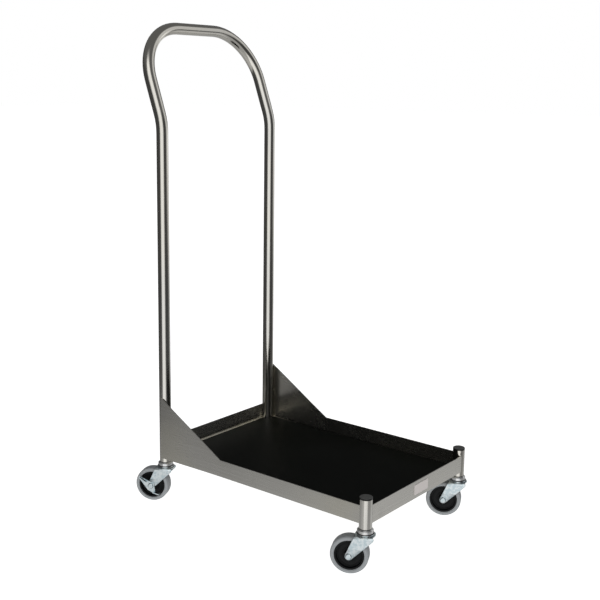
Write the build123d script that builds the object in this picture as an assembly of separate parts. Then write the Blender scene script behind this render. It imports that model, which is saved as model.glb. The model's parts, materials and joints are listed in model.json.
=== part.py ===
from build123d import *
import math
import os

# Platform trolley with a shallow steel tray, a leaning U-handle and four swivel casters.
# Design frame: X across, Y along with the handle at +Y, Z up from the floor, and the
# origin midway between the four corner tubes. Each node is moved as it is written, so
# that the finished part's origin is the bottom centre of its own bounding box.

# ------------------------------------------------------------------ driving dimensions, mm

# Corner tubes
TUBE_SPACING_X = 348.0          # across, axis to axis
TUBE_SPACING_Y = 538.0          # along, axis to axis
TUBE_DIAMETER = 25.4
TUBE_WALL = 1.5
TUBE_DROP = 9.5                 # tube ends below the lower edge of the walls
POST_RISE = 12.0                # front posts above the upper edge of the walls
VENT_DIAMETER = 3.0             # weld vent hole in each front post
VENT_ABOVE_WALL = 5.0
VENT_ANGLE = 40.0               # of the vent, turned inboard from straight ahead

# Handle
HANDLE_HEIGHT = 1032.0          # floor to the axis of the top bar
LEAN_DROP = 200.0               # from the top bar down to the point where the legs lean
LEAN_ANGLE = 20.0
LEAN_BEND_RADIUS = 115.0
HANDLE_CORNER_RADIUS = 117.0

# Tray
SHEET = 1.5
WALL_HEIGHT = 36.0
WALL_STANDOFF = 10.8            # outer face of each wall, outboard of the tube axes
GUSSET_RISE = 103.0             # above the walls, where the slope meets the tube axis
GUSSET_RUN = 174.0
LAP_BEND_START = 24.0           # ahead of the leg's axis, where the side wall starts to step outward
LAP_BEND_END = 14.0             # ahead of the leg's axis, where it lies flat along the leg's outer side
WELD_GAP = 0.05                 # root gap of the joints between sheet and tube

# Loose mat on the tray floor
MAT_THICKNESS = 3.0
MAT_MARGIN = 1.0
MAT_REAR_MARGIN = 8.0

# Blank label plate on the front wall
PLATE_WIDTH = 52.0
PLATE_HEIGHT = 21.0
PLATE_THICKNESS = 0.8
PLATE_OFFSET = 5.0              # to the left of the middle
PLATE_CORNER = 1.5

# Post caps
CAP_RIM = 2.5
CAP_DOME = 1.5
CAP_PLUG_DEPTH = 10.0
CAP_PLUG_WALL = 2.5
PLUG_CLEARANCE = 0.05

# Wheels
WHEEL_DIAMETER = 75.0
TYRE_WIDTH = 24.0
TYRE_DEPTH = 8.0
TYRE_ROUNDING = 4.0
HUB_WIDTH = 22.0
HUB_RIM = 3.5
HUB_WEB = 10.0
HUB_BOSS_RADIUS = 10.0
RIDGE_WIDTH = 8.0               # ring on the hub that holds the tyre
RIDGE_HEIGHT = 1.5
TYRE_CLEARANCE = 0.03
BUSH_RADIUS = 6.0
AXLE_RADIUS = 4.0
RUNNING_CLEARANCE = 0.05
BOSS_END_CLEARANCE = 0.4

# Forks and swivel heads
TRAIL = 28.5                    # wheel axle behind the swivel axis
CASTER_HEADING = 116.0          # direction of the trail at rest, in degrees from +X
FORK_SHEET = 2.5
FORK_SIDE_CLEARANCE = 2.0
FORK_BEND_RADIUS = 5.0
FORK_TIP_RADIUS = 7.5
FORK_TOP_DEPTH = 7.0            # height of the full-width band under the crown
CROWN_RADIUS = 20.0
CROWN_CLEARANCE = 2.0           # above the tyre
LOWER_RACE_HEIGHT = 2.5
UPPER_RACE_HEIGHT = 8.0
UPPER_RACE_CHAMFER = 2.5
RACE_RADIUS = 16.0
RACE_GAP = 1.5
BALL_DIAMETER = 4.0
BALL_CIRCLE_RADIUS = 11.0
BALL_COUNT = 14
SEAL_WIDTH = 3.2
SEAL_OVERHANG = 1.0
SEAL_CLEARANCE = 0.3
KINGPIN_RADIUS = 5.0
RIVET_RADIUS = 8.0
RIVET_HEIGHT = 2.0
STEM_RADIUS = 5.5
STEM_LENGTH = 35.0
SOCKET_TOP = 3.0                # closed end of the socket above the stem
SOCKET_FLANGE = 1.0

# Axle bolt and nut
BOLT_HEAD_RADIUS = 6.2
BOLT_HEAD_HEIGHT = 3.2
NUT_ACROSS_FLATS = 13.0
NUT_HEIGHT = 6.5
BOLT_END = 2.0                  # thread beyond the nut

# Wheel brake of the rear casters
LEVER_SHEET = 2.0
LEVER_SIDE_CLEARANCE = 0.1
LEVER_BOSS_RADIUS = 8.0
LEVER_TIP = (25.0, 17.0)        # from the axle: back, up
LEVER_TIP_RADIUS = 2.5
LEVER_HEEL = (4.0, -7.0)
LEVER_HEEL_RADIUS = 4.0
LEVER_TOE = (-7.0, -13.0)
LEVER_TOE_RADIUS = 3.5
PEDAL_START = (8.5, 9.5)        # root of the pedal flange along the lever's upper edge
PEDAL_WIDTH = 7.0
TOE_TAB_END = (-21.0, -16.5)
CAM_WASHER_RADIUS = 8.0
CAM_WASHER_HEIGHT = 1.2

# ------------------------------------------------------------------ derived places

TUBE_RADIUS = TUBE_DIAMETER / 2
BORE_RADIUS = TUBE_RADIUS - TUBE_WALL
AXLE_Z = WHEEL_DIAMETER / 2
CROWN_UNDER_Z = WHEEL_DIAMETER + CROWN_CLEARANCE
CROWN_TOP_Z = CROWN_UNDER_Z + FORK_SHEET
LOWER_RACE_TOP_Z = CROWN_TOP_Z + LOWER_RACE_HEIGHT
UPPER_RACE_Z = LOWER_RACE_TOP_Z + RACE_GAP
UPPER_RACE_TOP_Z = UPPER_RACE_Z + UPPER_RACE_HEIGHT
TUBE_BOTTOM_Z = UPPER_RACE_TOP_Z + SOCKET_FLANGE
WALL_BOTTOM_Z = TUBE_BOTTOM_Z + TUBE_DROP
WALL_TOP_Z = WALL_BOTTOM_Z + WALL_HEIGHT
POST_TOP_Z = WALL_TOP_Z + POST_RISE
FLOOR_TOP_Z = WALL_BOTTOM_Z + SHEET
MAT_TOP_Z = FLOOR_TOP_Z + MAT_THICKNESS
HALF_X = TUBE_SPACING_X / 2
HALF_Y = TUBE_SPACING_Y / 2
OUTER_X = HALF_X + WALL_STANDOFF
OUTER_Y = HALF_Y + WALL_STANDOFF
INNER_X = OUTER_X - SHEET
INNER_Y = OUTER_Y - SHEET
LAP_INNER_X = HALF_X + TUBE_RADIUS + WELD_GAP
LAP_OUTER_X = LAP_INNER_X + SHEET
LEAN_HEIGHT = HANDLE_HEIGHT - LEAN_DROP
LEAN_OFFSET = LEAN_DROP * math.tan(math.radians(LEAN_ANGLE))
FORK_INNER_HALF = TYRE_WIDTH / 2 + FORK_SIDE_CLEARANCE
FORK_OUTER_HALF = FORK_INNER_HALF + FORK_SHEET
HUB_RADIUS = WHEEL_DIAMETER / 2 - TYRE_DEPTH
BALL_CENTRE_Z = (LOWER_RACE_TOP_Z + UPPER_RACE_Z) / 2 + BALL_DIAMETER / 16
BALL_GROOVE_RADIUS = BALL_DIAMETER / 2 + RUNNING_CLEARANCE
LEVER_INNER_Y = FORK_OUTER_HALF + CAM_WASHER_HEIGHT + LEVER_SIDE_CLEARANCE
BRAKE_STACK = CAM_WASHER_HEIGHT + LEVER_SHEET + 2 * LEVER_SIDE_CLEARANCE

# Left and right are those of a person who pushes the cart towards -Y.
CORNERS = {
    "front_left": (HALF_X, -HALF_Y),
    "front_right": (-HALF_X, -HALF_Y),
    "rear_left": (HALF_X, HALF_Y),
    "rear_right": (-HALF_X, HALF_Y),
}
SIDES = {"left": 1, "right": -1}


# ------------------------------------------------------------------ shared shapes

def disc(radius, low, high):
    """A vertical cylinder between two heights."""
    return Pos(0, 0, low) * Cylinder(radius, high - low, align=(Align.CENTER, Align.CENTER, Align.MIN))


def ring(outer, inner, low, high):
    """A vertical ring between two heights."""
    return disc(outer, low, high) - disc(inner, low, high)


def bar_on_y(radius, low, high):
    """A cylinder along Y through the wheel's axle line, in the caster's frame."""
    return Pos(TRAIL, 0, AXLE_Z) * Rot(-90, 0, 0) * disc(radius, low, high)


def revolved(points):
    """A closed outline of (radius, height) points, turned about Z."""
    outline = make_face(Plane.XZ * Polyline(*points, close=True))
    return revolve(outline, Axis.Z)


def corner_cutters(margin):
    """The four corner tubes with a margin, each with the square corner outboard of its axis."""
    tube = disc(TUBE_RADIUS + margin, 0, HANDLE_HEIGHT)
    square = Box(TUBE_DIAMETER, TUBE_DIAMETER, HANDLE_HEIGHT, align=(Align.CENTER, Align.CENTER, Align.MIN))
    cutters = []
    for x, y in CORNERS.values():
        outboard = Pos(math.copysign(TUBE_RADIUS, x), math.copysign(TUBE_RADIUS, y), 0) * square
        cutters.append(Pos(x, y, 0) * (tube + outboard))
    return cutters


def cut_all(shape, cutters):
    """The shape less each of the cutters in turn."""
    for cutter in cutters:
        shape = shape - cutter
    return shape


# ------------------------------------------------------------------ frame and tray

def handle_tube():
    """One bent tube: two rear legs, the lean, two large corners and the top bar."""
    top_y = HALF_Y + LEAN_OFFSET
    path = FilletPolyline(
        (-HALF_X, HALF_Y, TUBE_BOTTOM_Z),
        (-HALF_X, HALF_Y, LEAN_HEIGHT),
        (-HALF_X, top_y, HANDLE_HEIGHT),
        (HALF_X, top_y, HANDLE_HEIGHT),
        (HALF_X, HALF_Y, LEAN_HEIGHT),
        (HALF_X, HALF_Y, TUBE_BOTTOM_Z),
        radius=[LEAN_BEND_RADIUS, HANDLE_CORNER_RADIUS, HANDLE_CORNER_RADIUS, LEAN_BEND_RADIUS],
    )
    start = Plane(origin=path @ 0, z_dir=path % 0)
    outside = sweep(start * Circle(TUBE_RADIUS), path)
    inside = sweep(start * Circle(BORE_RADIUS), path)
    return outside - inside


def front_post(side):
    """A short corner tube with a small vent hole through its outer wall."""
    post = ring(TUBE_RADIUS, BORE_RADIUS, TUBE_BOTTOM_Z, POST_TOP_Z)
    drill = Rot(90, 0, 0) * Cylinder(VENT_DIAMETER / 2, TUBE_DIAMETER, align=(Align.CENTER, Align.CENTER, Align.MIN))
    post = post - Pos(0, 0, WALL_TOP_Z + VENT_ABOVE_WALL) * Rot(0, 0, -side * VENT_ANGLE) * drill
    return Pos(side * HALF_X, -HALF_Y, 0) * post


def post_cap(side):
    """A domed plastic cap with a hollow plug inside the post."""
    rim_top = POST_TOP_Z + CAP_RIM
    rim = disc(TUBE_RADIUS, POST_TOP_Z, rim_top + CAP_DOME)
    rim = fillet(rim.edges().sort_by(Axis.Z)[-1], CAP_DOME)
    plug_radius = BORE_RADIUS - PLUG_CLEARANCE
    plug = ring(plug_radius, plug_radius - CAP_PLUG_WALL, POST_TOP_Z - CAP_PLUG_DEPTH, POST_TOP_Z)
    return Pos(side * HALF_X, -HALF_Y, 0) * (rim + plug)


def side_wall(side):
    """A side wall that rises at the rear into a gusset and steps outward to lap over the leg."""
    outline = make_face(Plane.YZ * Polyline(
        (-HALF_Y, WALL_BOTTOM_Z),
        (HALF_Y, WALL_BOTTOM_Z),
        (HALF_Y, WALL_TOP_Z + GUSSET_RISE),
        (HALF_Y - GUSSET_RUN, WALL_TOP_Z),
        (-HALF_Y, WALL_TOP_Z),
        close=True,
    ))
    plan = make_face(Polyline(
        (INNER_X, -HALF_Y),
        (OUTER_X, -HALF_Y),
        (OUTER_X, HALF_Y - LAP_BEND_START),
        (LAP_OUTER_X, HALF_Y - LAP_BEND_END),
        (LAP_OUTER_X, HALF_Y),
        (LAP_INNER_X, HALF_Y),
        (LAP_INNER_X, HALF_Y - LAP_BEND_END),
        (INNER_X, HALF_Y - LAP_BEND_START),
        close=True,
    ))
    wall = extrude(outline, LAP_OUTER_X) & extrude(plan, HANDLE_HEIGHT)
    if side < 0:
        wall = mirror(wall, Plane.YZ)
    return cut_all(wall, corner_cutters(WELD_GAP))


def end_wall(end):
    """The front or the rear wall between two corner tubes."""
    wall = Box(TUBE_SPACING_X, SHEET, WALL_HEIGHT, align=(Align.CENTER, Align.CENTER, Align.MIN))
    wall = Pos(0, end * (OUTER_Y - SHEET / 2), WALL_BOTTOM_Z) * wall
    return cut_all(wall, corner_cutters(WELD_GAP))


def tray_floor():
    """The flat floor sheet between the walls, notched round the tubes."""
    sheet = Box(2 * INNER_X, 2 * INNER_Y, SHEET, align=(Align.CENTER, Align.CENTER, Align.MIN))
    return cut_all(Pos(0, 0, WALL_BOTTOM_Z) * sheet, corner_cutters(WELD_GAP))


def deck_mat():
    """A loose mat on the floor sheet, notched round the tubes."""
    front_y = -INNER_Y + MAT_MARGIN
    rear_y = INNER_Y - MAT_REAR_MARGIN
    mat = Box(
        2 * (INNER_X - MAT_MARGIN),
        rear_y - front_y,
        MAT_THICKNESS,
        align=(Align.CENTER, Align.MIN, Align.MIN),
    )
    return cut_all(Pos(0, front_y, FLOOR_TOP_Z) * mat, corner_cutters(MAT_MARGIN))


def name_plate():
    """A blank plate on the outside of the front wall."""
    outline = Plane.XZ * RectangleRounded(PLATE_WIDTH, PLATE_HEIGHT, PLATE_CORNER)
    plate = extrude(outline, PLATE_THICKNESS)
    return Pos(PLATE_OFFSET, -OUTER_Y, WALL_BOTTOM_Z + WALL_HEIGHT / 2) * plate


# ------------------------------------------------------------------ caster, trail along +X

def stem_socket():
    """A plastic socket inside the tube's lower end, with a thin flange under it."""
    flange = disc(TUBE_RADIUS, UPPER_RACE_TOP_Z, TUBE_BOTTOM_Z)
    stem_top = TUBE_BOTTOM_Z + STEM_LENGTH
    sleeve = disc(BORE_RADIUS - PLUG_CLEARANCE, TUBE_BOTTOM_Z, stem_top + SOCKET_TOP)
    return flange + sleeve - disc(STEM_RADIUS + PLUG_CLEARANCE, UPPER_RACE_TOP_Z, stem_top + PLUG_CLEARANCE)


def ball_groove():
    """The channel that the swivel balls run in."""
    return Pos(0, 0, BALL_CENTRE_Z) * Torus(BALL_CIRCLE_RADIUS, BALL_GROOVE_RADIUS)


def swivel_stem():
    """The fixed half of the swivel: stem, upper race and the kingpin riveted under the fork."""
    race = disc(RACE_RADIUS, UPPER_RACE_Z, UPPER_RACE_TOP_Z)
    race = chamfer(race.edges().sort_by(Axis.Z)[-1], UPPER_RACE_CHAMFER)
    race = race - ball_groove()
    stem = disc(STEM_RADIUS, UPPER_RACE_TOP_Z, TUBE_BOTTOM_Z + STEM_LENGTH)
    head_top = CROWN_UNDER_Z - RUNNING_CLEARANCE
    kingpin = disc(KINGPIN_RADIUS, head_top, UPPER_RACE_Z)
    rivet = disc(RIVET_RADIUS, head_top - RIVET_HEIGHT, head_top)
    return race + stem + kingpin + rivet


def race_seal():
    """A dark seal ring in the gap between the two races."""
    outer = RACE_RADIUS + SEAL_OVERHANG
    return ring(outer, outer - SEAL_WIDTH, LOWER_RACE_TOP_Z + SEAL_CLEARANCE, UPPER_RACE_Z)


def swivel_balls():
    """The ring of balls between the races."""
    ball = Pos(BALL_CIRCLE_RADIUS, 0, BALL_CENTRE_Z) * Sphere(BALL_DIAMETER / 2)
    return Compound(children=[Rot(0, 0, 360 * i / BALL_COUNT) * ball for i in range(BALL_COUNT)])


def fork_side():
    """The fork's outline from the side: a band under the crown that tapers to the axle."""
    band = Pos(0, CROWN_TOP_Z - FORK_TOP_DEPTH / 2) * Rectangle(2 * CROWN_RADIUS, FORK_TOP_DEPTH)
    tip = Pos(TRAIL, AXLE_Z) * Circle(FORK_TIP_RADIUS)
    return make_hull(band.edges() + tip.edges())


def fork():
    """A pressed fork: U-section folded over the wheel, round crown and lower ball race."""
    reach = TRAIL + FORK_TIP_RADIUS + CROWN_RADIUS
    outer = Rectangle(2 * FORK_OUTER_HALF, CROWN_TOP_Z, align=(Align.CENTER, Align.MIN))
    outer = fillet(outer.vertices().group_by(Axis.Y)[-1], FORK_BEND_RADIUS)
    inner = Rectangle(2 * FORK_INNER_HALF, CROWN_UNDER_Z, align=(Align.CENTER, Align.MIN))
    inner = fillet(inner.vertices().group_by(Axis.Y)[-1], FORK_BEND_RADIUS - FORK_SHEET)
    folded = extrude(Plane.YZ * (outer - inner), reach, both=True)
    body = folded & extrude(Plane.XZ * fork_side(), 2 * FORK_OUTER_HALF, both=True)
    crown = disc(CROWN_RADIUS, CROWN_UNDER_Z, CROWN_TOP_Z)
    race = disc(RACE_RADIUS, CROWN_TOP_Z, LOWER_RACE_TOP_Z)
    body = body + crown + race - ball_groove()
    body = body - disc(KINGPIN_RADIUS + RUNNING_CLEARANCE, CROWN_UNDER_Z, LOWER_RACE_TOP_Z)
    return body - bar_on_y(AXLE_RADIUS + RUNNING_CLEARANCE, -FORK_OUTER_HALF, FORK_OUTER_HALF)


def wheel_bush():
    """The steel bush clamped between the fork's arms, which the hub turns on."""
    half = FORK_INNER_HALF
    return bar_on_y(BUSH_RADIUS, -half, half) - bar_on_y(AXLE_RADIUS + RUNNING_CLEARANCE, -half, half)


def on_axle(shape):
    """A piece made about Z, laid on the wheel's axle line with its +Z towards +Y."""
    return Pos(TRAIL, 0, AXLE_Z) * Rot(-90, 0, 0) * shape


def wheel_hub():
    """A plastic wheel centre: boss, thin web, rim and the ridge that holds the tyre."""
    bore = BUSH_RADIUS + RUNNING_CLEARANCE
    rim_inner = HUB_RADIUS - HUB_RIM
    ridge = HUB_RADIUS + RIDGE_HEIGHT
    boss_half = FORK_INNER_HALF - BOSS_END_CLEARANCE
    upper = [
        (bore, boss_half),
        (HUB_BOSS_RADIUS, boss_half),
        (HUB_BOSS_RADIUS, HUB_WEB / 2),
        (rim_inner, HUB_WEB / 2),
        (rim_inner, HUB_WIDTH / 2),
        (HUB_RADIUS, HUB_WIDTH / 2),
        (HUB_RADIUS, RIDGE_WIDTH / 2),
        (ridge, RIDGE_WIDTH / 2),
    ]
    lower = [(radius, -height) for radius, height in reversed(upper)]
    return on_axle(revolved(upper + lower))


def tyre():
    """A solid grey tyre with rounded shoulders, seated over the hub's ridge."""
    body = disc(WHEEL_DIAMETER / 2, -TYRE_WIDTH / 2, TYRE_WIDTH / 2)
    body = fillet(body.edges().filter_by(GeomType.CIRCLE), TYRE_ROUNDING)
    seat = disc(HUB_RADIUS + TYRE_CLEARANCE, -TYRE_WIDTH / 2, TYRE_WIDTH / 2)
    groove_half = RIDGE_WIDTH / 2 + TYRE_CLEARANCE
    groove = disc(HUB_RADIUS + RIDGE_HEIGHT + TYRE_CLEARANCE, -groove_half, groove_half)
    return on_axle(body - seat - groove)


def axle_bolt(stack):
    """The axle bolt with a low domed head outside whatever it clamps on the +Y arm."""
    head_base = FORK_OUTER_HALF + stack
    head = disc(BOLT_HEAD_RADIUS, head_base, head_base + BOLT_HEAD_HEIGHT)
    head = fillet(head.edges().sort_by(Axis.Z)[-1], 0.6 * BOLT_HEAD_HEIGHT)
    shank_end = -(FORK_OUTER_HALF + NUT_HEIGHT + BOLT_END)
    return on_axle(head + disc(AXLE_RADIUS, shank_end, head_base))


def axle_nut():
    """The hexagon nut on the bolt's far end."""
    hexagon = RegularPolygon(NUT_ACROSS_FLATS / 2, 6, major_radius=False)
    nut = Pos(0, 0, -FORK_OUTER_HALF - NUT_HEIGHT) * extrude(hexagon, NUT_HEIGHT)
    bore = disc(AXLE_RADIUS + RUNNING_CLEARANCE, -FORK_OUTER_HALF - NUT_HEIGHT, -FORK_OUTER_HALF)
    return on_axle(nut - bore)


def cam_washer():
    """The washer between the fork's arm and the brake lever."""
    high = FORK_OUTER_HALF + CAM_WASHER_HEIGHT
    return on_axle(ring(CAM_WASHER_RADIUS, AXLE_RADIUS + RUNNING_CLEARANCE, FORK_OUTER_HALF, high))


def lever_flange(start, end):
    """A strip of lever sheet that stands out to the side, between two points from the axle."""
    run = math.dist(start, end)
    angle = math.degrees(math.atan2(end[1] - start[1], end[0] - start[0]))
    middle = Pos((start[0] + end[0]) / 2, (start[1] + end[1]) / 2)
    strip = middle * Rot(0, 0, angle) * Rectangle(run, LEVER_SHEET)
    return extrude(Plane.XZ * strip, -(LEVER_SHEET + PEDAL_WIDTH))


def brake_lever():
    """The rocking brake lever: press the pedal to lock the wheel, the toe tab to free it."""
    boss = Circle(LEVER_BOSS_RADIUS)
    heel = Pos(*LEVER_HEEL) * Circle(LEVER_HEEL_RADIUS)
    tip = Pos(*LEVER_TIP) * Circle(LEVER_TIP_RADIUS)
    toe = Pos(*LEVER_TOE) * Circle(LEVER_TOE_RADIUS)
    outline = make_hull(boss.edges() + heel.edges() + tip.edges())
    outline = outline + make_hull(boss.edges() + heel.edges() + toe.edges())
    plate = extrude(Plane.XZ * outline, -LEVER_SHEET)
    slope = math.atan2(LEVER_TIP[1] - PEDAL_START[1], LEVER_TIP[0] - PEDAL_START[0])
    lift = LEVER_TIP_RADIUS - LEVER_SHEET / 2
    pedal_end = (LEVER_TIP[0] - lift * math.sin(slope), LEVER_TIP[1] + lift * math.cos(slope))
    lever = plate + lever_flange(PEDAL_START, pedal_end) + lever_flange(LEVER_TOE, TOE_TAB_END)
    lever = Pos(TRAIL, LEVER_INNER_Y, AXLE_Z) * lever
    return lever - bar_on_y(AXLE_RADIUS + RUNNING_CLEARANCE, 0, FORK_OUTER_HALF + BRAKE_STACK + PEDAL_WIDTH)


def caster(corner):
    """All pieces of one caster, by node name, in the caster's own frame."""
    braked = corner.startswith("rear")
    pieces = {
        "stem_socket": stem_socket(),
        "swivel_stem": swivel_stem(),
        "race_seal": race_seal(),
        "swivel_balls": swivel_balls(),
        "fork": fork(),
        "axle_bolt": axle_bolt(BRAKE_STACK if braked else 0),
        "axle_nut": axle_nut(),
        "wheel_bush": wheel_bush(),
        "wheel_hub": wheel_hub(),
        "tyre": tyre(),
    }
    if braked:
        pieces["cam_washer"] = cam_washer()
        pieces["brake_lever"] = brake_lever()
    return pieces


# ------------------------------------------------------------------ assembly

def build_nodes():
    """Every node of the cart by name, in the design frame."""
    nodes = {
        "handle_tube": handle_tube(),
        "front_wall": end_wall(-1),
        "rear_wall": end_wall(1),
        "tray_floor": tray_floor(),
        "deck_mat": deck_mat(),
        "name_plate": name_plate(),
    }
    for name, side in SIDES.items():
        nodes[f"front_post_{name}"] = front_post(side)
        nodes[f"post_cap_{name}"] = post_cap(side)
        nodes[f"side_wall_{name}"] = side_wall(side)
    for corner, (x, y) in CORNERS.items():
        place = Location((x, y, 0), (0, 0, CASTER_HEADING))
        for name, shape in caster(corner).items():
            nodes[f"{name}_{corner}"] = place * shape
    return nodes


def base_centre(nodes):
    """The bottom centre of the box round all nodes."""
    boxes = [shape.bounding_box() for shape in nodes.values()]
    low = [min(getattr(box.min, axis) for box in boxes) for axis in "XYZ"]
    high = [max(getattr(box.max, axis) for box in boxes) for axis in "XYZ"]
    return Vector((low[0] + high[0]) / 2, (low[1] + high[1]) / 2, low[2])


def print_places(origin):
    """Print the axes and the mounting face in the finished part's frame, in metres."""
    heading = math.radians(CASTER_HEADING)
    across = (-math.sin(heading), math.cos(heading), 0)
    print("axle direction", [round(value, 6) for value in across])
    for corner, (x, y) in CORNERS.items():
        axle = Vector(x + TRAIL * math.cos(heading), y + TRAIL * math.sin(heading), AXLE_Z)
        print(corner, "swivel", metres(Vector(x, y, UPPER_RACE_Z) - origin), "axle", metres(axle - origin))
    print("deck", metres(Vector(0, 0, MAT_TOP_Z) - origin))


def metres(point):
    """A point in millimetres as a rounded list in metres."""
    return [round(value / 1000, 6) for value in (point.X, point.Y, point.Z)]


def main():
    """Build the cart and write one STEP file for each node."""
    os.makedirs("parts", exist_ok=True)
    nodes = build_nodes()
    origin = base_centre(nodes)
    for name, shape in nodes.items():
        export_step(Pos(-origin.X, -origin.Y, -origin.Z) * shape, f"parts/{name}.step")
    print_places(origin)


main()
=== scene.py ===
import json
import logging
import math
from dataclasses import dataclass
from enum import Enum
from typing import Any, Dict, List, Optional, Sequence, Tuple, Union

import bmesh
import bpy
from mathutils import Matrix, Vector


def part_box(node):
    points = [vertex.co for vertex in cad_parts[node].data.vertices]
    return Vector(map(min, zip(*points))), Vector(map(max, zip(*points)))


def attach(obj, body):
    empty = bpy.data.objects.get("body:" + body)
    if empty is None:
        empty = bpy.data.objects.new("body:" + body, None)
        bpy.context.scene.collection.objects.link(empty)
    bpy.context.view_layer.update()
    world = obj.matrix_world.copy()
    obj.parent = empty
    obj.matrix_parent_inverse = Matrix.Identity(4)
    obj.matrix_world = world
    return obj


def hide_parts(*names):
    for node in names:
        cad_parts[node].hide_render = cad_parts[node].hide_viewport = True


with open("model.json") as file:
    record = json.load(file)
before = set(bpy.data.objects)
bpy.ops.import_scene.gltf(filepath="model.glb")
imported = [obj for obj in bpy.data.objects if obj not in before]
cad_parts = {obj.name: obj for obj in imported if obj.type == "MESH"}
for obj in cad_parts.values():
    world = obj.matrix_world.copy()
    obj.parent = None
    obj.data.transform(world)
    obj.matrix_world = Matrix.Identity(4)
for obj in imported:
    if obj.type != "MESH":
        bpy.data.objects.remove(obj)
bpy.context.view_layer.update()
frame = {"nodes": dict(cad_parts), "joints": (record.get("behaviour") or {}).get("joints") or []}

# A steel platform trolley: shallow tray with a mat, leaning U-handle, two capped front
# posts and four swivel casters. +Z is up, the handle stands at +Y, metres throughout.

LOG = logging.getLogger("trolley")

Colour = Tuple[float, float, float]
Number = Union["Signal", float]
Point2 = Tuple[float, float]
Corner = Tuple[float, float, float]

MM = 0.001
TUBE_RADIUS = 12.7 * MM
SIDES = ("left", "right")
CORNERS = ("front_left", "front_right", "rear_left", "rear_right")


# -------- shader building


class Signal:
    """A node's output socket. Arithmetic on it adds Math nodes."""

    def __init__(self, graph: "Graph", socket: bpy.types.NodeSocket) -> None:
        """Keeps the graph that new nodes go into, and the socket."""
        self.graph = graph
        self.socket = socket

    def math(self, operation: str, *values: Number) -> "Signal":
        """Adds one Math node on these inputs, in order, and gives its result."""
        return self.graph.node("ShaderNodeMath", {"operation": operation}, dict(enumerate(values)))

    def __add__(self, other: Number) -> "Signal":
        """The sum."""
        return self.math("ADD", self, other)

    def __radd__(self, other: Number) -> "Signal":
        """The sum, with this signal second."""
        return self.math("ADD", other, self)

    def __sub__(self, other: Number) -> "Signal":
        """The difference."""
        return self.math("SUBTRACT", self, other)

    def __rsub__(self, other: Number) -> "Signal":
        """The difference, with this signal taken away."""
        return self.math("SUBTRACT", other, self)

    def __mul__(self, other: Number) -> "Signal":
        """The product."""
        return self.math("MULTIPLY", self, other)

    def __rmul__(self, other: Number) -> "Signal":
        """The product, with this signal second."""
        return self.math("MULTIPLY", other, self)

    def clamped(self) -> "Signal":
        """This signal held between 0 and 1."""
        return self.math("MINIMUM", self.math("MAXIMUM", self, 0.0), 1.0)


class Graph:
    """The nodes of one material or of the world."""

    def __init__(self, tree: bpy.types.NodeTree) -> None:
        """Starts from an empty node tree."""
        tree.nodes.clear()
        self.tree = tree

    def node(
        self,
        kind: str,
        settings: Optional[Dict[str, Any]] = None,
        inputs: Optional[Dict[Union[str, int], Any]] = None,
        output: Union[str, int] = 0,
    ) -> Signal:
        """Adds any node.

        Args:
            kind: the node's type.
            settings: its properties, set before the inputs.
            inputs: values or signals by socket name or number.
            output: the socket that the returned signal reads.

        Returns:
            The chosen output, or a signal on the first input of a node that has no outputs.
        """
        made = self.tree.nodes.new(kind)
        for name, value in (settings or {}).items():
            setattr(made, name, value)
        for key, value in (inputs or {}).items():
            if isinstance(value, Signal):
                self.tree.links.new(value.socket, made.inputs[key])
            else:
                made.inputs[key].default_value = value
        return Signal(self, made.outputs[output] if made.outputs else made.inputs[0])

    def place(self) -> Signal:
        """The point on the surface in the piece's own coordinates, in metres."""
        return self.node("ShaderNodeTexCoord", output="Object")

    def vector_math(self, operation: str, *values: Any, output: Union[str, int] = 0) -> Signal:
        """Adds one Vector Math node on these inputs, in order, and gives the chosen output."""
        return self.node("ShaderNodeVectorMath", {"operation": operation}, dict(enumerate(values)), output)

    def parts(self, vector: Signal) -> List[Signal]:
        """The x, y and z of a vector."""
        split = self.node("ShaderNodeSeparateXYZ", inputs={0: vector})
        return [Signal(self, socket) for socket in split.socket.node.outputs]

    def noise(
        self, scale: float, detail: float = 2.0, roughness: float = 0.5, point: Optional[Signal] = None
    ) -> Signal:
        """Soft noise from 0 to 1, with so many features in a metre."""
        values = {"Vector": point or self.place(), "Scale": scale, "Detail": detail, "Roughness": roughness}
        return self.node("ShaderNodeTexNoise", {}, values)

    def streaks(self, scales: Sequence[float], detail: float = 2.0, roughness: float = 0.5) -> Signal:
        """Soft noise with so many features in a metre along x, y and z."""
        return self.noise(1.0, detail, roughness, self.vector_math("MULTIPLY", self.place(), scales))

    def cells(self, scale: float) -> Signal:
        """Distance to the nearest of many scattered points."""
        return self.node("ShaderNodeTexVoronoi", {}, {"Vector": self.place(), "Scale": scale})

    def ramp(self, value: Number, low: float, high: float, start: float = 0.0, end: float = 1.0) -> Signal:
        """A smooth step: start up to the low value, end from the high value on."""
        values = {0: value, 1: low, 2: high, 3: start, 4: end}
        return self.node("ShaderNodeMapRange", {"interpolation_type": "SMOOTHSTEP"}, values)

    def mixed(self, mask: Number, first: Union[Colour, Signal], second: Union[Colour, Signal]) -> Signal:
        """A colour between two colours: a mask of 0 gives the first and 1 the second."""
        ends = [c if isinstance(c, Signal) else (*c, 1.0) for c in (first, second)]
        return self.node("ShaderNodeMix", {"data_type": "RGBA"}, {0: mask, 6: ends[0], 7: ends[1]}, output=2)

    def bump(self, height: Number, distance: float, strength: float = 1.0) -> Signal:
        """A normal tilted by a height, where a height of 1 stands for the distance in metres."""
        return self.node("ShaderNodeBump", {}, {"Strength": strength, "Distance": distance, "Height": height})

    def surface(self, inputs: Dict[str, Any]) -> None:
        """Ends a material in one Principled shader.

        Args:
            inputs: its socket values or signals by name; a colour may have three parts.
        """
        full = {k: (*v, 1.0) if isinstance(v, tuple) and len(v) == 3 else v for k, v in inputs.items()}
        shader = self.node("ShaderNodeBsdfPrincipled", {}, full)
        self.node("ShaderNodeOutputMaterial", {}, {"Surface": shader})


# -------- finishes


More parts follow.
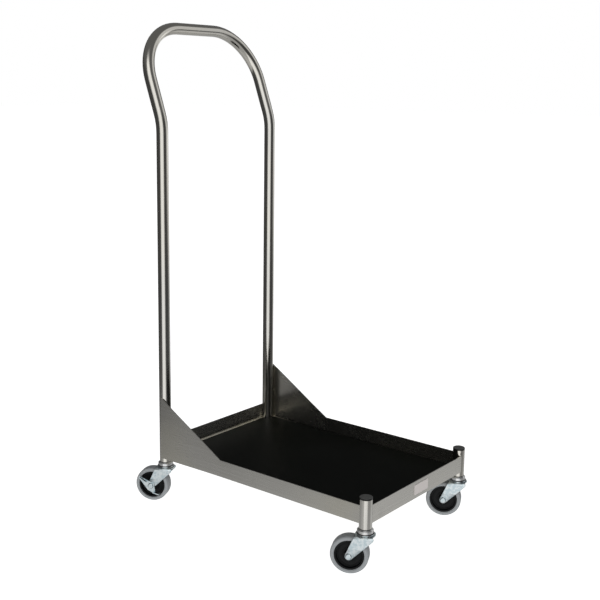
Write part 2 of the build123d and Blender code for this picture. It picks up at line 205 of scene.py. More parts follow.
@dataclass(frozen=True)
class Finish:
    """A surface finish: its material is made once and shared."""

    name: str

    def build(self, graph: Graph) -> None:
        """Fills the material's nodes."""
        raise NotImplementedError

    def material(self) -> bpy.types.Material:
        """The material of this finish.

        Returns:
            The shared material, made at the first call.
        """
        known = bpy.data.materials.get(self.name)
        if known:
            return known
        made = bpy.data.materials.new(self.name)
        made.use_nodes = True
        self.build(Graph(made.node_tree))
        return made


class Grain(Enum):
    """Direction of the brushing, as how fast the grain changes along x, y and z."""

    ALONG_X = (14.0, 1500.0, 1500.0)
    ALONG_Y = (1500.0, 14.0, 1500.0)
    ALONG_Z = (1500.0, 1500.0, 20.0)


@dataclass(frozen=True)
class BrushedSteel(Finish):
    """Stainless steel with fine brushed lines, faint clouds and handling marks."""

    grain: Grain
    tone: Colour = (0.6, 0.588, 0.553)
    deep: Colour = (0.5, 0.489, 0.455)
    warm: Colour = (0.6, 0.575, 0.49)
    roughness: float = 0.26
    line_depth: float = 0.02 * MM

    def build(self, graph: Graph) -> None:
        """Fills the material's nodes.

        Args:
            graph: the material's graph.
        """
        lines = graph.streaks(self.grain.value, 3.0, 0.6)
        broad = graph.streaks(tuple(0.2 * scale for scale in self.grain.value))
        clouds = graph.noise(7.0, 3.0, 0.55)
        smears = graph.ramp(graph.noise(28.0, 4.0, 0.65), 0.52, 0.75)
        mask = (0.4 * clouds + 0.35 * broad + 0.25 * lines).clamped()
        plain = graph.mixed(graph.ramp(mask, 0.3, 0.7), self.deep, self.tone)
        warmth = graph.ramp(graph.noise(3.2, 2.0), 0.42, 0.62, 0.0, 0.7)
        graph.surface({
            "Base Color": graph.mixed(warmth, plain, self.warm),
            "Metallic": 1.0,
            "Roughness": self.roughness + 0.1 * (lines - 0.5) + 0.08 * (clouds - 0.5) + 0.05 * smears,
            "Normal": graph.bump(0.7 * lines + 0.3 * broad, self.line_depth),
        })


@dataclass(frozen=True)
class Zinc(Finish):
    """Zinc plate on pressed steel: faint cloudy tint, tiny pits and rubbed spots."""

    tone: Colour = (0.62, 0.67, 0.685)
    tint: Colour = (0.44, 0.52, 0.55)
    roughness: float = 0.32
    rubbed: Colour = (0.7, 0.69, 0.64)
    pit_depth: float = 0.04 * MM

    def build(self, graph: Graph) -> None:
        """Fills the material's nodes.

        Args:
            graph: the material's graph.
        """
        clouds = graph.noise(170.0, 4.0, 0.65)
        rubs = graph.ramp(graph.noise(35.0, 2.0), 0.55, 0.75, 0.0, 0.35)
        pits = graph.ramp(graph.cells(900.0), 0.1, 0.35)
        grit = graph.noise(1400.0, 2.0)
        plated = graph.mixed(graph.ramp(clouds, 0.4, 0.6), self.tint, self.tone)
        graph.surface({
            "Base Color": graph.mixed(rubs, plated, self.rubbed),
            "Metallic": 1.0,
            "Roughness": self.roughness + 0.16 * (clouds - 0.5) + 0.08 * (1 - pits),
            "Normal": graph.bump(0.6 * pits + 0.4 * grit, self.pit_depth),
        })


@dataclass(frozen=True)
class BearingSteel(Finish):
    """Ground and hardened steel with a thin film of oil."""

    tone: Colour = (0.62, 0.62, 0.61)
    oil: Colour = (0.42, 0.4, 0.36)
    grind_depth: float = 0.01 * MM

    def build(self, graph: Graph) -> None:
        """Fills the material's nodes.

        Args:
            graph: the material's graph.
        """
        film = graph.noise(220.0, 3.0)
        ground = graph.streaks((200.0, 200.0, 6000.0))
        graph.surface({
            "Base Color": graph.mixed(graph.ramp(film, 0.4, 0.7), self.tone, self.oil),
            "Metallic": 1.0,
            "Roughness": 0.16 + 0.12 * film,
            "Normal": graph.bump(ground, self.grind_depth),
        })


@dataclass(frozen=True)
class MouldedPlastic(Finish):
    """Dark moulded plastic with a fine spark-eroded texture and pale rub marks."""

    tone: Colour = (0.012, 0.0125, 0.0125)
    wear_and_painted_sheen: Colour = (0.03, 0.031, 0.031)
    roughness: float = 0.42
    specular: float = 0.5
    texture_depth: float = 0.04 * MM

    def build(self, graph: Graph) -> None:
        """Fills the material's nodes.

        Args:
            graph: the material's graph.
        """
        texture = graph.noise(2600.0, 3.0, 0.6)
        rubs = graph.ramp(graph.streaks((90.0, 90.0, 320.0), 4.0, 0.6), 0.5, 0.8)
        dust = graph.ramp(graph.noise(1100.0, 2.0), 0.64, 0.8, 0.0, 0.5)
        graph.surface({
            "Base Color": graph.mixed((0.6 * rubs + 0.4 * dust).clamped(), self.tone, self.wear_and_painted_sheen),
            "Roughness": self.roughness + 0.12 * (texture - 0.5) + 0.12 * rubs,
            "Specular IOR Level": self.specular,
            "Normal": graph.bump(texture, self.texture_depth),
        })


@dataclass(frozen=True)
class CapPlastic(Finish):
    """Black moulded plastic: its top face has a painted sheen, greyed as top light and varied by soft noise;
    below it, its own black is deepened as painted shade for the plug in the post's hole.
    """

    # From shoulder up to crest the colour turns from the painted shade below to the painted top light.
    shoulder: float = 152.6 * MM
    crest: float = 153.8 * MM
    # The plastic's own black, deepened as painted shade for the plug seen in the post's hole.
    tone: Colour = (0.004, 0.0042, 0.0042)
    # The two greys of the painted sheen on the top face: top light painted into the colour.
    dust_and_painted_sheen: Colour = (0.075, 0.076, 0.074)
    wear_and_painted_sheen: Colour = (0.12, 0.121, 0.118)
    texture_depth: float = 0.04 * MM

    def build(self, graph: Graph) -> None:
        """Fills the material's nodes.

        Args:
            graph: the material's graph.
        """
        texture = graph.noise(2600.0, 3.0, 0.6)
        rubs = graph.ramp(graph.noise(260.0, 4.0, 0.6), 0.45, 0.75)
        # Painted top light: the top face is painted grey, and the rest near-black as painted shade.
        top = graph.ramp(graph.parts(graph.place())[2], self.shoulder, self.crest)
        graph.surface({
            "Base Color": graph.mixed(top, self.tone, graph.mixed(rubs, self.dust_and_painted_sheen, self.wear_and_painted_sheen)),
            "Roughness": 0.42 + 0.12 * (texture - 0.5) + 0.12 * rubs,
            "Specular IOR Level": 0.25,
            "Normal": graph.bump(texture, self.texture_depth),
        })


@dataclass(frozen=True)
class TyreRubber(Finish):
    """Grey non-marking rubber: darker tread, dusty scuffs and fine specks."""

    tread_start: float = 33.7 * MM
    tread_end: float = 37.1 * MM
    tone: Colour = (0.33, 0.348, 0.358)
    dark: Colour = (0.17, 0.178, 0.184)
    dust: Colour = (0.37, 0.37, 0.36)
    scuff_depth: float = 0.06 * MM

    def build(self, graph: Graph) -> None:
        """Fills the material's nodes.

        Args:
            graph: the material's graph.
        """
        in_plane = graph.vector_math("MULTIPLY", graph.place(), (1.0, 1.0, 0.0))
        radius = graph.vector_math("LENGTH", in_plane, output="Value")
        mottle = graph.noise(160.0, 4.0, 0.6)
        specks = graph.ramp(graph.noise(2400.0, 2.0, 0.7), 0.6, 0.78)
        scuffs = graph.ramp(graph.streaks((260.0, 260.0, 60.0), 4.0, 0.65), 0.52, 0.72)
        tread = graph.ramp(radius, self.tread_start, self.tread_end)
        body = graph.mixed((0.3 * tread + 0.35 * mottle).clamped(), self.tone, self.dark)
        dust_and_painted_sheen = graph.mixed((0.25 * specks + 0.22 * scuffs * tread).clamped(), body, self.dust)
        graph.surface({
            "Base Color": dust_and_painted_sheen,
            "Roughness": 0.6 + 0.15 * mottle,
            "Specular IOR Level": 0.35,
            "Normal": graph.bump(0.5 * specks + 0.5 * scuffs, self.scuff_depth),
        })


@dataclass(frozen=True)
class SoftRubber(Finish):
    """Black rubber of the seals."""

    tone: Colour = (0.011, 0.011, 0.012)
    wear_and_painted_sheen: Colour = (0.022, 0.022, 0.023)
    mottle_depth: float = 0.04 * MM

    def build(self, graph: Graph) -> None:
        """Fills the material's nodes.

        Args:
            graph: the material's graph.
        """
        mottle = graph.noise(500.0, 3.0)
        graph.surface({
            "Base Color": graph.mixed(mottle, self.tone, self.wear_and_painted_sheen),
            "Roughness": 0.5 + 0.2 * mottle,
            "Normal": graph.bump(mottle, self.mottle_depth),
        })


@dataclass(frozen=True)
class MatRubber(Finish):
    """Black matting with a fine pebbled face, slightly dulled where loads slide."""

    tone: Colour = (0.0025, 0.003, 0.0024)
    wear_and_painted_sheen: Colour = (0.0055, 0.0064, 0.0053)
    roughness: float = 0.38
    specular: float = 0.04
    pebble_depth: float = 0.05 * MM

    def build(self, graph: Graph) -> None:
        """Fills the material's nodes.

        Args:
            graph: the material's graph.
        """
        pebbles = graph.ramp(graph.cells(620.0), 0.05, 0.6, 1.0, 0.0)
        fine = graph.noise(1900.0, 2.0)
        wear = graph.streaks((6.0, 3.0, 6.0), 4.0, 0.6)
        lint = graph.ramp(graph.noise(900.0, 3.0, 0.7), 0.68, 0.8, 0.0, 0.6)
        dulled = (0.7 * graph.ramp(wear, 0.4, 0.7) + 0.3 * lint).clamped()
        graph.surface({
            "Base Color": graph.mixed(dulled, self.tone, self.wear_and_painted_sheen),
            "Roughness": self.roughness + 0.12 * wear + 0.06 * (fine - 0.5),
            "Specular IOR Level": self.specular,
            "Normal": graph.bump(0.75 * pebbles + 0.25 * fine, self.pebble_depth, 0.6),
        })


@dataclass(frozen=True)
class PlateMetal(Finish):
    """Satin label stock with a fine grain across the plate."""

    tone: Colour = (0.66, 0.62, 0.6)
    shade: Colour = (0.55, 0.515, 0.495)
    grain_depth: float = 0.01 * MM

    def build(self, graph: Graph) -> None:
        """Fills the material's nodes.

        Args:
            graph: the material's graph.
        """
        lines = graph.streaks((40.0, 3000.0, 3000.0), 3.0, 0.6)
        spots = graph.noise(240.0, 3.0)
        graph.surface({
            "Base Color": graph.mixed((0.6 * lines + 0.4 * spots).clamped(), self.shade, self.tone),
            "Metallic": 0.25,
            "Roughness": 0.4 + 0.14 * spots,
            "Normal": graph.bump(lines, self.grain_depth),
        })


@dataclass(frozen=True)
class StudioFloor(Finish):
    """Pale seamless floor that gives a little light of its own."""

    tone: Colour = (0.6, 0.6, 0.6)
    glow: float = 0.92

    def build(self, graph: Graph) -> None:
        """Fills the material's nodes.

        Args:
            graph: the material's graph.
        """
        fleck = graph.noise(3.0, 3.0)
        graph.surface({
            "Base Color": graph.mixed(fleck, self.tone, tuple(0.97 * c for c in self.tone)),
            "Roughness": 0.9,
            "Specular IOR Level": 0.0,
            "Emission Color": (1.0, 1.0, 1.0),
            "Emission Strength": self.glow,
        })


SIDE_STEEL = BrushedSteel("steel_brushed_lengthwise", Grain.ALONG_Y)
END_STEEL = BrushedSteel("steel_brushed_crosswise", Grain.ALONG_X, warm=(0.6, 0.588, 0.545))
TUBE_STEEL = BrushedSteel(
    "steel_polished_tube", Grain.ALONG_Z,
    tone=(0.54, 0.53, 0.5), deep=(0.48, 0.47, 0.442), warm=(0.54, 0.52, 0.47), roughness=0.15,
)
BLUE_ZINC = Zinc("zinc_blue")
BRIGHT_ZINC = Zinc("zinc_bright", tone=(0.66, 0.66, 0.65), tint=(0.55, 0.56, 0.57), roughness=0.24)
BEARING = BearingSteel("steel_bearing")
CAP_PLASTIC = CapPlastic("plastic_cap")
SOCKET_PLASTIC = MouldedPlastic("plastic_socket")
HUB_PLASTIC = MouldedPlastic(
    "plastic_hub", tone=(0.003, 0.0038, 0.0042), wear_and_painted_sheen=(0.012, 0.0135, 0.0145), roughness=0.4, specular=0.16
)
TYRE = TyreRubber("rubber_tyre")
SEAL = SoftRubber("rubber_seal")
MAT = MatRubber("rubber_mat")
PLATE = PlateMetal("label_stock")
FLOOR = StudioFloor("studio_floor")


# -------- mesh building


Mesh = bmesh.types.BMesh
Ring = List[bmesh.types.BMVert]


class Maker:
    """Turns bmeshes into pieces of the trolley and dresses them."""

    SHARP = math.radians(32)
    FLAT_AREA = 100 * MM**2
    TOUCH = 0.001 * MM

    @staticmethod
    def shade(data: bpy.types.Mesh) -> None:
        """Shades a mesh smoothly, except over broad plain faces and across sharp edges.

        Args:
            data: the mesh, whose faces are also turned outward.
        """
        mesh = bmesh.new()
        mesh.from_mesh(data)
        bmesh.ops.recalc_face_normals(mesh, faces=mesh.faces)
        for face in mesh.faces:
            face.smooth = face.calc_area() < Maker.FLAT_AREA
        for edge in mesh.edges:
            edge.smooth = edge.calc_face_angle(math.pi) < Maker.SHARP
        mesh.to_mesh(data)
        mesh.free()

    @staticmethod
    def piece(name: str, mesh: Mesh, place: Matrix = Matrix.Identity(4)) -> bpy.types.Object:
        """Makes an object from a bmesh and shades it.

        Args:
            name: the piece's name.
            mesh: its shape in its own coordinates; it is freed.
            place: where it stands in the trolley's frame.

        Returns:
            The object, linked to the scene.
        """
        data = bpy.data.meshes.new(name)
        mesh.to_mesh(data)
        mesh.free()
        Maker.shade(data)
        made = bpy.data.objects.new(name, data)
        made.matrix_world = place
        bpy.context.scene.collection.objects.link(made)
        return made

    @staticmethod
    def join(piece: bpy.types.Object, body: str, slot: str, finish: Finish, node: str) -> None:
        """Makes a piece part of the trolley.

        Args:
            piece: the new object.
            body: the CAD body that carries it.
            slot: the record's material slot; not used.
            finish: the finish that dresses it.
            node: the CAD node that it stands for.
        """
        piece.data.materials.append(finish.material())
        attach(piece, body)
        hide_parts(node)
        LOG.info("piece %s on %s, %d faces", piece.name, body, len(piece.data.polygons))

    @staticmethod
    def dress(node: str, finish: Finish) -> None:
        """Gives a CAD node its material."""
        for slot in frame["nodes"][node].material_slots:
            slot.material = finish.material()

    @staticmethod
    def bridge(mesh: Mesh, ring: Ring, following: Ring) -> None:
        """Joins two rings of equally many vertices by a band of faces."""
        for i, j in zip(range(len(ring)), (*range(1, len(ring)), 0)):
            mesh.faces.new((ring[i], following[i], following[j], ring[j]))

    @staticmethod
    def turned(outline: Sequence[Point2], steps: int) -> Mesh:
        """Turns a closed outline about the z axis.

        Args:
            outline: (radius, height) points, in order round the section.
            steps: divisions of the full turn.

        Returns:
            A closed ring.
        """
        mesh = bmesh.new()
        rings: List[Ring] = []
        for step in range(steps):
            angle = 2 * math.pi * step / steps
            rings.append([mesh.verts.new((r * math.cos(angle), r * math.sin(angle), z)) for r, z in outline])
        for ring, following in zip(rings, rings[1:] + rings[:1]):
            Maker.bridge(mesh, ring, following)
        return mesh

    @staticmethod
    def lofted(sections: Sequence[Sequence[Sequence[float]]]) -> Mesh:
        """Joins sections of equally many points, and closes both ends.

        Args:
            sections: the points of each section, in order round it.

        Returns:
            The closed solid.
        """
        mesh = bmesh.new()
        rings = [[mesh.verts.new(point) for point in section] for section in sections]
        for ring, following in zip(rings, rings[1:]):
            Maker.bridge(mesh, ring, following)
        mesh.faces.new(rings[0])
        mesh.faces.new(rings[-1])
        return mesh

    @staticmethod
    def soften(mesh: Mesh, radius: float) -> None:
        """Rounds every sharp edge of a mesh.

        Args:
            mesh: the closed mesh, which is changed.
            radius: how far each rounding reaches from its edge.
        """
        bmesh.ops.recalc_face_normals(mesh, faces=mesh.faces)
        rim = [edge for edge in mesh.edges if edge.calc_face_angle(0.0) > Maker.SHARP]
        bmesh.ops.bevel(mesh, geom=rim, offset=radius, segments=2, profile=0.5, affect="EDGES")

    @staticmethod
    def combine(piece: bpy.types.Object, tool: bpy.types.Object, operation: str) -> None:
        """Joins or cuts a piece with another one, which is used up.

        Args:
            piece: the piece that is changed.
            tool: the other piece.
            operation: UNION or DIFFERENCE.
        """
        step = piece.modifiers.new("combine", "BOOLEAN")
        step.operation = operation
        step.solver = "EXACT"
        step.object = tool
        bpy.context.view_layer.update()
        before = piece.data
        shown = piece.evaluated_get(bpy.context.evaluated_depsgraph_get())
        piece.data = bpy.data.meshes.new_from_object(shown)
        piece.modifiers.remove(step)
        Maker.shade(piece.data)
        bpy.data.meshes.remove(before)
        bpy.data.meshes.remove(tool.data)

    @staticmethod
    def slab(outline: Sequence[Point2], low: float, high: float) -> Mesh:
        """A flat slab.

        Args:
            outline: its corners seen from above, in order.
            low: height of the underside.
            high: height of the top.

        Returns:
            The slab.
        """
        mesh = bmesh.new()
        rings = [[mesh.verts.new((x, y, z)) for x, y in outline] for z in (low, high)]
        mesh.faces.new(rings[0])
        mesh.faces.new(rings[1])
        Maker.bridge(mesh, rings[1], rings[0])
        return mesh

    @staticmethod
    def rim(mesh: Mesh, height: float) -> List[bmesh.types.BMEdge]:
        """The edges that lie at a height or above it."""
        return [e for e in mesh.edges if all(v.co.z > height - Maker.TOUCH for v in e.verts)]


def rounded(corners: Sequence[Corner], steps: int) -> List[Point2]:
    """Rounds the corners of a closed outline.

    Args:
        corners: (x, y, radius) of each corner in order; a radius of 0 keeps it sharp.
        steps: segments in each rounding.

    Returns:
        The outline's points.
    """
    points: List[Point2] = []
    for i, (x, y, radius) in enumerate(corners):
        if radius <= 0:
            points.append((x, y))
            continue
        here = Vector((x, y))
        before = (Vector(corners[i - 1][:2]) - here).normalized()
        after = (Vector(corners[(i + 1) % len(corners)][:2]) - here).normalized()
        half = before.angle(after) / 2
        reach = radius / math.tan(half)
        centre = here + (before + after).normalized() * (radius / math.sin(half))
        start = here + before * reach - centre
        end = here + after * reach - centre
        turn = math.atan2(start.cross(end), start.dot(end))
        for step in range(steps + 1):
            swung = start.copy()
            swung.rotate(Matrix.Rotation(turn * step / steps, 2))
            points.append(tuple(centre + swung))
    return points


def joint_of(name: str) -> Dict[str, Any]:
    """The record's joint of that name."""
    return next(joint for joint in frame["joints"] if joint["name"] == name)


def swivel_axis(corner: str) -> Vector:
    """A point on the swivel axis of one corner, which is also the corner tube's axis."""
    return Vector(joint_of(f"swivel_turn_{corner}")["pos_m"])


# -------- sub-assemblies


@dataclass
class Frame:
    """The welded steel that keeps its CAD shape: tubes, end walls and floor."""

    tubes: Tuple[str, ...] = ("handle_tube", "front_post_left", "front_post_right")
    end_walls: Tuple[str, ...] = ("front_wall", "rear_wall")
    floor: str = "tray_floor"

    def build(self) -> None:
        """Dresses the tubes and the sheets."""
        for node in self.tubes:
            Maker.dress(node, TUBE_STEEL)
        for node in self.end_walls:
            Maker.dress(node, END_STEEL)
        Maker.dress(self.floor, SIDE_STEEL)


@dataclass
class SideSheet:
    """One side wall with its gusset: a thin sheet that sweeps out to lap over the rear leg."""

    side: str
    thickness: float = 1.5 * MM
    weld_gap: float = 0.05 * MM
    tube_radius: float = TUBE_RADIUS
    gusset_run: float = 174.0 * MM
    flat_run: float = 3.0 * MM
    edge_radius: float = 0.3 * MM
    steps: int = 24

    def stations(self) -> List[Tuple[float, float, float]]:
        """Where the sheet is drawn, from the leg to the foot of the gusset.

        Returns:
            (y, height of the top edge, part of the outward step) of each station.
        """
        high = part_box(f"side_wall_{self.side}")[1]
        wall_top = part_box("rear_wall")[1].z
        found: List[Tuple[float, float, float]] = []
        for step in range(self.steps + 1):
            back = self.gusset_run * step / self.steps
            part = 1 - max(0.0, back - self.flat_run) / (self.gusset_run - self.flat_run)
            rise = (high.z - wall_top) * (1 - step / self.steps)
            found.append((high.y - back, wall_top + rise, part * part * (3 - 2 * part)))
        return found

    def build(self) -> None:
        """Makes the sheet in the place of its CAD node."""
        node = f"side_wall_{self.side}"
        low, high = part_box(node)
        outward = 1.0 if self.side == "left" else -1.0
        inside = low.x if self.side == "left" else high.x
        front, rear = swivel_axis(f"front_{self.side}"), swivel_axis(f"rear_{self.side}")
        reach = self.tube_radius + self.weld_gap
        lap = rear.x + outward * reach
        columns = [(y, y, top, inside + part * (lap - inside)) for y, top, part in self.stations()]
        ends = [math.sqrt(reach**2 - (abs(inside - front.x) + t) ** 2) for t in (0.0, self.thickness)]
        columns.append((front.y + ends[0], front.y + ends[1], columns[-1][2], inside))
        sections = []
        for inner_y, outer_y, top, x in columns:
            inner = [(x, inner_y, z) for z in (low.z, top)]
            outer = [(x + outward * self.thickness, outer_y, z) for z in (top, low.z)]
            sections.append(inner + outer)
        mesh = Maker.lofted(sections)
        Maker.soften(mesh, self.edge_radius)
        Maker.join(Maker.piece(f"side_sheet_{self.side}", mesh), "root", "stainless_sheet", SIDE_STEEL, node)


@dataclass
class PostCap:
    """The moulded cap on one front post."""

    side: str

    def build(self) -> None:
        """Dresses the cap."""
        Maker.dress(f"post_cap_{self.side}", CAP_PLASTIC)


@dataclass
class DeckMat:
    """The loose mat, notched round the four tubes, with a softened upper edge."""

    tube_radius: float = TUBE_RADIUS
    margin: float = 1.0 * MM
    edge_radius: float = 0.8 * MM
    notch_steps: int = 18

    def notch(self, corner: Vector, axis: Vector) -> List[Point2]:
        """The arc that clears one tube.

        Args:
            corner: the mat's square corner.
            axis: the tube's axis in plan.

        Returns:
            Points of the arc, from the side edge to the end edge.
        """
        reach = self.tube_radius + self.margin
        across, along = corner.x - axis.x, corner.y - axis.y
        side_y = -math.copysign(math.sqrt(reach**2 - across**2), axis.y)
        end_x = -math.copysign(math.sqrt(reach**2 - along**2), axis.x)
        start = math.atan2(side_y, across)
        turn = (math.atan2(along, end_x) - start) % (2 * math.pi)
        turn = turn - 2 * math.pi if turn > math.pi else turn
        angles = [start + turn * i / self.notch_steps for i in range(self.notch_steps + 1)]
        return [(axis.x + reach * math.cos(a), axis.y + reach * math.sin(a)) for a in angles]

    def outline(self) -> List[Point2]:
        """The mat's outline.

        Returns:
            Its points in order, seen from above.
        """
        low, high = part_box("deck_mat")
        points: List[Point2] = []
        for name in ("front_left", "rear_left", "rear_right", "front_right"):
            axis = swivel_axis(name)
            corner = Vector((high.x if "left" in name else low.x, high.y if "rear" in name else low.y, 0))
            arc = self.notch(corner, axis)
            points += arc if name in ("rear_left", "front_right") else arc[::-1]
        return points

    def build(self) -> None:
        """Makes the mat in the place of its CAD node."""
        low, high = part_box("deck_mat")
        mesh = Maker.slab(self.outline(), low.z, high.z)
        rim = Maker.rim(mesh, high.z)
        bmesh.ops.bevel(mesh, geom=rim, offset=self.edge_radius, segments=3, profile=0.5, affect="EDGES")
        Maker.join(Maker.piece("mat_sheet", mesh), "root", "mat", MAT, "deck_mat")


@dataclass
class LabelPlate:
    """The blank label plate. Its rim and rounding come out with no width, so it is a plain plate."""

    corner_radius: float = 1.5 * MM
    rim_width: float = 1.1 * MM
    field_depth: float = 0.25 * MM
    edge_radius: float = 0.2 * MM
    corner_steps: int = 6

    def build(self) -> None:
        """Makes the plate in the place of its CAD node: lying face up, and then tipped up."""
        low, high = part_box("name_plate")
        places = ((low.x, low.z), (high.x, low.z), (high.x, high.z), (low.x, high.z))
        corners = [(x, z, self.corner_radius) for x, z in places]
        mesh = Maker.slab(rounded(corners, self.corner_steps), -high.y, -low.y)
        front = max(mesh.faces, key=lambda f: f.calc_center_median().z)
        bmesh.ops.inset_region(mesh, faces=[front], thickness=self.rim_width)
        front = max((f for f in mesh.faces if len(f.verts) > 4), key=lambda f: f.calc_center_median().z)
        bmesh.ops.translate(mesh, verts=front.verts, vec=(0, 0, -self.field_depth))
        rim = Maker.rim(mesh, -low.y)
        outer = [e for e in rim if any(abs(f.normal.z) < 0.5 for f in e.link_faces)]
        bmesh.ops.bevel(mesh, geom=outer, offset=self.edge_radius, segments=2, profile=0.5, affect="EDGES")
        upright = Matrix(((1, 0, 0, 0), (0, 0, -1, 0), (0, 1, 0, 0), (0, 0, 0, 1)))
        mesh.transform(upright)
        Maker.join(Maker.piece("label_blank", mesh), "root", "label_plate", PLATE, "name_plate")


@dataclass
class Fork:
    """One pressed fork: arms folded down from a round crown with a raised ball race."""

    corner: str
    outer_half: float = 16.5 * MM
    sheet: float = 2.3 * MM
    seat: float = 0.1 * MM
    bend_radius: float = 5.0 * MM
    crown_radius: float = 20.0 * MM
    crown_sheet: float = 2.5 * MM
    race_radius: float = 16.0 * MM
    race_height: float = 2.5 * MM
    shoulder_half: float = 18.6 * MM
    shoulder_depth: float = 7.0 * MM
    ball_clearance: float = 0.05 * MM
    kingpin_radius: float = 5.05 * MM
    axle_radius: float = 4.05 * MM
    edge_radius: float = 0.4 * MM
    tip_cut: float = math.radians(8)
    tip_steps: int = 10
    bend_steps: int = 8
    groove_steps: int = 10
    hole_steps: int = 48
    crown_steps: int = 96

    def __post_init__(self) -> None:
        """Reads where the fork stands from the record's joints and from its CAD box."""
        low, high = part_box(f"fork_{self.corner}")
        wheel = joint_of(f"wheel_spin_{self.corner}")
        middle = Vector(wheel["pos_m"])
        self.foot = swivel_axis(self.corner)
        self.foot.z = 0.0
        self.ahead = Vector((middle.x - self.foot.x, middle.y - self.foot.y, 0.0))
        self.across = Vector(wheel["axis"])
        if self.ahead.cross(self.across).z < 0:
            self.across.negate()
        self.trail = self.ahead.length
        self.axle = middle.z
        self.tip = self.axle - low.z
        self.crown_top = high.z - self.race_height

    def edges(self, height: float) -> Tuple[float, float]:
        """The arm's rear and front edges.

        Args:
            height: where they are wanted.

        Returns:
            Both distances ahead of the swivel axis.
        """
        found: List[float] = []
        for way, start in ((-1, self.crown_top - self.shoulder_depth), (1, self.crown_top)):
            shoulder = Vector((way * self.shoulder_half, start))
            toward = Vector((self.trail, self.axle)) - shoulder
            swing = math.asin(self.tip / toward.length)
            line = toward * math.cos(swing)
            line.rotate(Matrix.Rotation(way * swing, 2))
            touch = shoulder + line
            if height >= start:
                found.append(shoulder.x)
            elif height >= touch.y:
                part = (start - height) / (start - touch.y)
                found.append(shoulder.x + part * line.x)
            else:
                found.append(self.trail + way * math.sqrt(max(0.0, self.tip**2 - (height - self.axle) ** 2)))
        return found[0], found[1]

    def folded(self) -> Mesh:
        """The two arms and the strip that joins them.

        Returns:
            The folded sheet, x ahead and z up.
        """
        flat = self.outer_half - self.bend_radius
        inner_radius = self.bend_radius - self.sheet
        bend_z = self.crown_top - self.seat - self.bend_radius
        parts = [step / self.tip_steps for step in range(self.tip_steps + 1)]
        angles = [self.tip_cut + (math.pi / 2 - self.tip_cut) * part for part in parts]
        heights = [self.axle - self.tip * math.cos(angle) for angle in angles]
        heights += [self.axle + (bend_z - self.axle) * part for part in parts[1:]]
        rows: List[Tuple[float, float, float, float, float, float]] = []
        for height in heights:
            back, front = self.edges(height)
            rows.append((self.outer_half, height, self.outer_half - self.sheet, height, back, front))
        reach = math.sqrt(self.crown_radius**2 - flat**2) - self.edge_radius
        for step in range(1, self.bend_steps + 1):
            part = step / self.bend_steps
            c, s = math.cos(part * math.pi / 2), math.sin(part * math.pi / 2)
            outer = (flat + self.bend_radius * c, bend_z + self.bend_radius * s)
            inner = (flat + inner_radius * c, bend_z + inner_radius * s)
            rows.append((*outer, *inner, back + part * (-reach - back), front + part * (reach - front)))
        mirrored = [(-y, z, -v, w, back, front) for y, z, v, w, back, front in reversed(rows)]
        sections = []
        for y, z, v, w, back, front in rows + mirrored:
            sections.append(((back, y, z), (front, y, z), (front, v, w), (back, v, w)))
        mesh = Maker.lofted(sections)
        Maker.soften(mesh, self.edge_radius)
        return mesh

    def crown_section(self) -> List[Point2]:
        """The crown's section: rounded rim, raised race with a ball groove, and the bore.

        Returns:
            The section's (radius, height) points.
        """
        low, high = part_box(f"swivel_balls_{self.corner}")
        ball = (high.z - low.z) / 2 + self.ball_clearance
        circle = (high.x - low.x) / 2 - ball
        centre = (low.z + high.z) / 2
        race_top = self.crown_top + self.race_height
        half = math.acos((centre - race_top) / ball)
        angles = [half - 2 * half * i / self.groove_steps for i in range(self.groove_steps + 1)]
        groove = [(circle - ball * math.sin(a), centre - ball * math.cos(a)) for a in angles]
        under = self.crown_top - self.crown_sheet
        outline = rounded([
            (self.kingpin_radius, under, 0.0),
            (self.crown_radius, under, 1.0 * MM),
            (self.crown_radius, self.crown_top, 1.2 * MM),
            (self.race_radius, self.crown_top, 1.0 * MM),
            (self.race_radius, race_top, 0.6 * MM),
        ], 5)
        return outline + groove[::-1] + [(self.kingpin_radius, race_top)]

    def drill(self, radius: float, place: Matrix) -> bpy.types.Object:
        """A bar that cuts a round hole.

        Args:
            radius: the hole's radius.
            place: where the bar's middle lies, and its direction.

        Returns:
            The bar.
        """
        sizes = {"radius1": radius, "radius2": radius, "depth": 4 * self.outer_half}
        bar = bmesh.new()
        bmesh.ops.create_cone(bar, cap_ends=True, segments=self.hole_steps, matrix=place, **sizes)
        return Maker.piece("drill", bar)

    def build(self) -> None:
        """Makes the fork in the place of its CAD node."""
        turn = Matrix((self.ahead.normalized(), self.across, Vector((0, 0, 1)))).transposed().to_4x4()
        fork = Maker.piece(f"fork_pressing_{self.corner}", self.folded())
        dish = Maker.piece("crown", Maker.turned(self.crown_section(), self.crown_steps))
        Maker.combine(fork, dish, "UNION")
        sideways = Matrix.Translation((self.trail, 0, self.axle)) @ Matrix.Rotation(math.pi / 2, 4, "X")
        upright = Matrix.Translation((0, 0, self.crown_top))
        for radius, middle in ((self.axle_radius, sideways), (self.kingpin_radius, upright)):
            Maker.combine(fork, self.drill(radius, middle), "DIFFERENCE")
        fork.data.transform(Matrix.Translation(self.foot) @ turn)
        Maker.join(fork, f"swivel_{self.corner}", "blue_zinc", BLUE_ZINC, f"fork_{self.corner}")


class CasterKind(Enum):
    """Whether a caster has a wheel brake."""

    FREE = "free"
    BRAKED = "braked"


